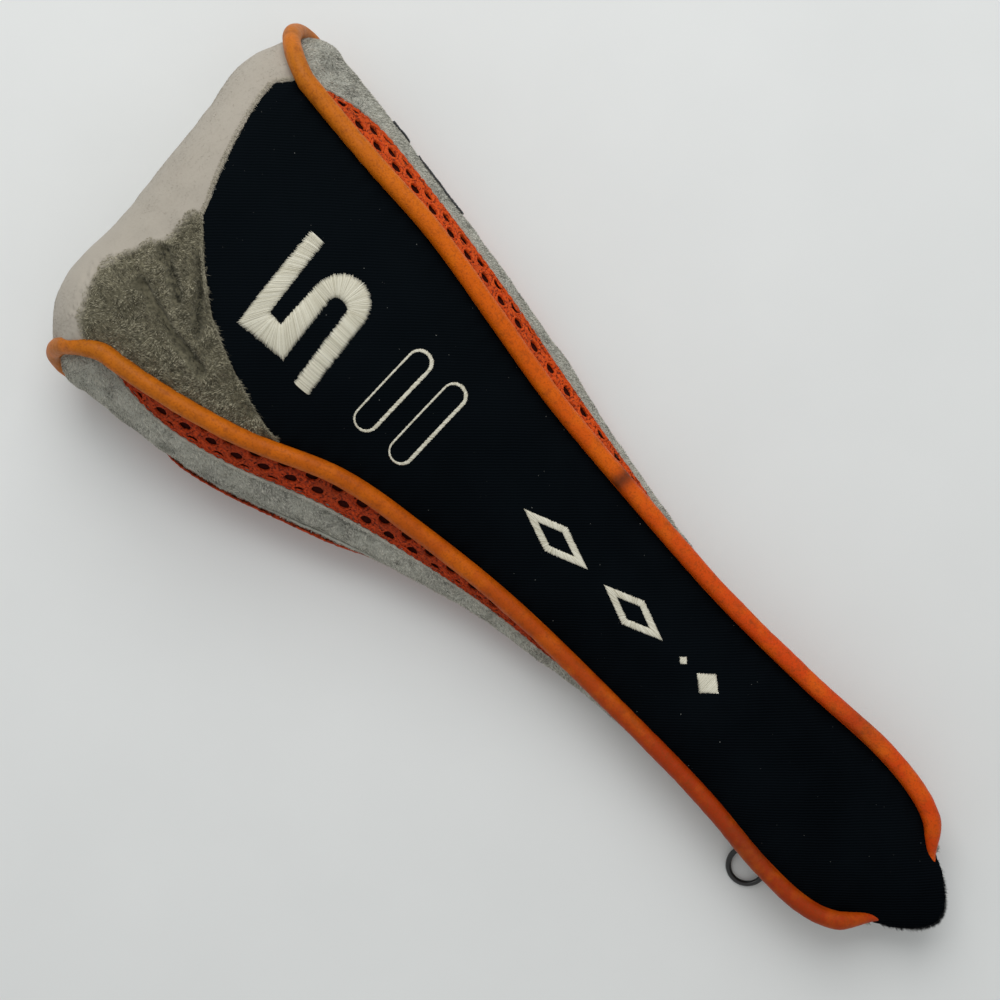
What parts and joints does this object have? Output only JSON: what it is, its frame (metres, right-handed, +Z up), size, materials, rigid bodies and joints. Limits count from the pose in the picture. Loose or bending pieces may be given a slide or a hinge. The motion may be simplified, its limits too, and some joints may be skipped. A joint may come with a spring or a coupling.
{
  "type": "golf club headcover",
  "caption": "Padded fairway-wood headcover with a flared head pocket, piped side gussets with mesh strips, stitched number and a hanging clip ring.",
  "frame": {"origin": "centre of the bounding box on the table the cover lies on", "axes": "+X from the mouth to the nose, +Y to the cover's left seen from above, +Z up off the table"},
  "size_m": [0.3376, 0.1316, 0.0528],
  "materials": {
    "front_cloth": "fine cross-ribbed polyester, near black, slight sheen",
    "nose_velour": "short-pile velour, beige grey where brushed one way and dark olive the other, worn",
    "side_velour": "heather grey short-pile velour, mottled",
    "mesh": "orange spacer mesh with oval holes over a dark maroon ground",
    "piping": "satin orange vinyl, stained brown at the nose and on rubbed edges",
    "cotton_cord": "twisted cotton filler cord",
    "foam": "soft grey foam padding",
    "lining": "black brushed fleece",
    "elastic": "black braided elastic",
    "backing": "white non-woven stabiliser",
    "cream_thread": "cream satin-stitch thread, slight gloss",
    "black_thread": "black satin-stitch thread",
    "webbing": "black ribbed webbing",
    "ring_black": "glossy black"
  },
  "bodies": {
    "cover": {"back_hem": "lining", "back_lining": "lining", "back_padding": "foam", "back_panel": "front_cloth", "embroidery_backing": "backing", "front_lining": "lining", "front_padding": "foam", "front_panel": "front_cloth", "left_back_mesh": "mesh", "left_front_mesh": "mesh", "left_piping_cord": "cotton_cord", "left_piping_cover": "piping", "left_side_lining": "lining", "left_side_padding": "foam", "left_side_panel": "side_velour", "motif_embroidery": "cream_thread", "neck_elastic": "elastic", "nose_lining": "lining", "nose_padding": "foam", "nose_panel": "nose_velour", "number_embroidery": "cream_thread", "right_back_mesh": "mesh", "right_front_mesh": "mesh", "right_piping_cord": "cotton_cord", "right_piping_cover": "piping", "right_side_lining": "lining", "right_side_padding": "foam", "right_side_panel": "side_velour", "ring_tab": "webbing", "side_embroidery": "black_thread", "slot_embroidery": "cream_thread", "tab_stitching": "black_thread", "tongue_facing": "lining"},
    "ring": {"ring": "ring_black"}
  },
  "joints": [
    {"name": "ring_swing", "type": "hinge", "parent": "cover", "child": "ring", "pos_m": [-0.11723, 0.0244, 0.0026], "axis": [1, 0, 0], "range_deg": [-82, 80]}
  ]
}
